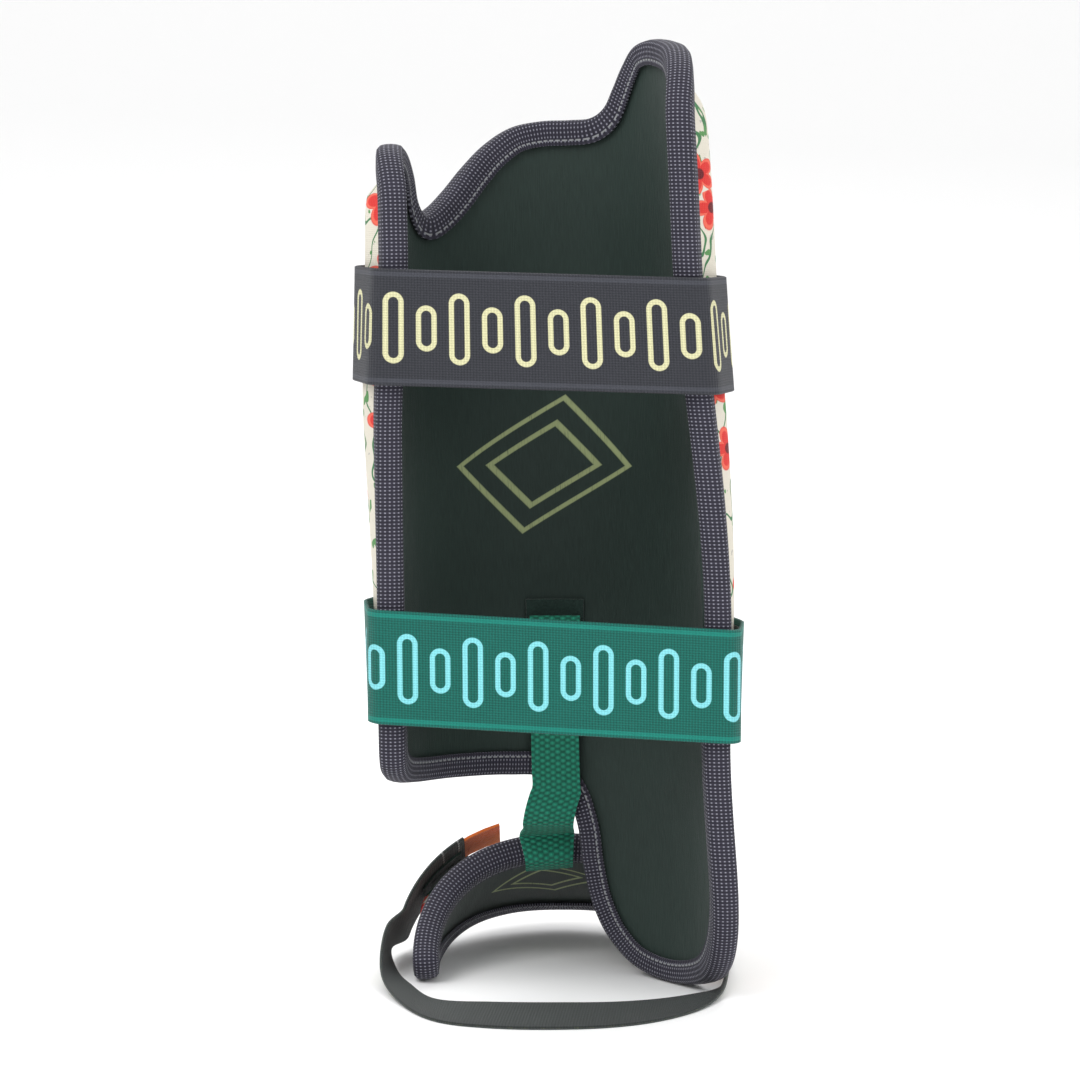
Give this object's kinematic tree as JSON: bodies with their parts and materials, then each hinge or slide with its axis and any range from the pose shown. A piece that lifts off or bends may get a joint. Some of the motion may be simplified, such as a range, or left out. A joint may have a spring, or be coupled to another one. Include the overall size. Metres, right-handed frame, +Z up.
{
  "type": "shin and instep guard",
  "caption": "Padded shin guard with an ankle wing, elastic calf straps closed by hook and loop, and a hinged foot pad on a webbing link with its own sole strap.",
  "frame": {"origin": "middle of the bounding box at floor level", "axes": "+Z up along the shin, -Y towards the open calf side, +X towards the side with the ankle wing"},
  "size_m": [0.1703, 0.2093, 0.4201],
  "materials": {
    "liner": "dark green fine-grained lining cloth",
    "comfort_foam": "soft closed-cell foam",
    "impact_foam": "dense moulded foam",
    "printed_cover": "cream cloth printed with red flowers and green stems",
    "edge_binding": "woven slate-violet tape with light specks",
    "slate_elastic": "ribbed elastic with a pale printed pattern",
    "teal_elastic": "ribbed elastic with a light blue printed pattern",
    "charcoal_elastic": "ribbed elastic with a yellowish printed pattern",
    "green_webbing": "coarse woven webbing",
    "hook_and_loop": "napped fastener",
    "pull_tab": "folded orange tape"
  },
  "bodies": {
    "shin_pad": {"shin_liner": "liner", "shin_comfort_foam": "comfort_foam", "shin_impact_foam": "impact_foam", "shin_outer_cover": "printed_cover", "shin_edge_binding": "edge_binding", "upper_loop_patch": "hook_and_loop", "lower_loop_patch": "hook_and_loop", "link_loop_patch": "hook_and_loop", "upper_strap_anchor": "slate_elastic", "lower_strap_anchor": "teal_elastic"},
    "upper_strap": {"upper_strap_band": "slate_elastic"},
    "upper_strap_tail": {"upper_strap_tail": "slate_elastic", "upper_hook_patch": "hook_and_loop"},
    "lower_strap": {"lower_strap_band": "teal_elastic"},
    "lower_strap_tail": {"lower_strap_tail": "teal_elastic", "lower_hook_patch": "hook_and_loop"},
    "link": {"link_webbing": "green_webbing", "link_drop": "green_webbing", "link_hook_patch": "hook_and_loop"},
    "foot_pad": {"foot_liner": "liner", "foot_comfort_foam": "comfort_foam", "foot_impact_foam": "impact_foam", "foot_outer_cover": "printed_cover", "foot_edge_binding": "edge_binding", "foot_webbing": "green_webbing", "foot_loop_patch": "hook_and_loop", "foot_strap_anchor": "charcoal_elastic"},
    "foot_strap": {"foot_strap_band": "charcoal_elastic"},
    "foot_strap_tail": {"foot_strap_tail": "charcoal_elastic", "foot_hook_patch": "hook_and_loop", "foot_pull_tab": "pull_tab"}
  },
  "joints": [
    {"name": "upper_strap_swing", "type": "hinge", "parent": "shin_pad", "child": "upper_strap", "pos_m": [-0.07114, -0.07818, 0.29725], "axis": [0, 0, -1], "range_deg": [0, 80]},
    {"name": "upper_tail_peel", "type": "hinge", "parent": "upper_strap", "child": "upper_strap_tail", "pos_m": [0.06496, -0.07818, 0.2933], "axis": [0, 0, -1], "range_deg": [0, 100]},
    {"name": "lower_strap_swing", "type": "hinge", "parent": "shin_pad", "child": "lower_strap", "pos_m": [-0.07296, -0.07635, 0.15163], "axis": [0, 0, -1], "range_deg": [0, 80]},
    {"name": "lower_tail_peel", "type": "hinge", "parent": "lower_strap", "child": "lower_strap_tail", "pos_m": [0.07743, -0.07635, 0.14306], "axis": [0, 0, -1], "range_deg": [0, 100]},
    {"name": "link_adjust", "type": "slide", "parent": "shin_pad", "child": "link", "axis": [0, 0, 1], "range_m": [-0.012, 0]},
    {"name": "foot_pad_flex", "type": "hinge", "parent": "link", "child": "foot_pad", "pos_m": [-0.00016, 0.01853, 0.06315], "axis": [1, 0, 0], "range_deg": [0, 30]},
    {"name": "foot_strap_swing", "type": "hinge", "parent": "foot_pad", "child": "foot_strap", "pos_m": [0.07722, 0.03184, 0.01844], "axis": [0, 0.8746, -0.4848], "range_deg": [0, 4]},
    {"name": "foot_tail_peel", "type": "hinge", "parent": "foot_strap", "child": "foot_strap_tail", "pos_m": [-0.06621, 0.031, 0.01693], "axis": [0, -0.8746, 0.4848], "range_deg": [0, 80]}
  ]
}
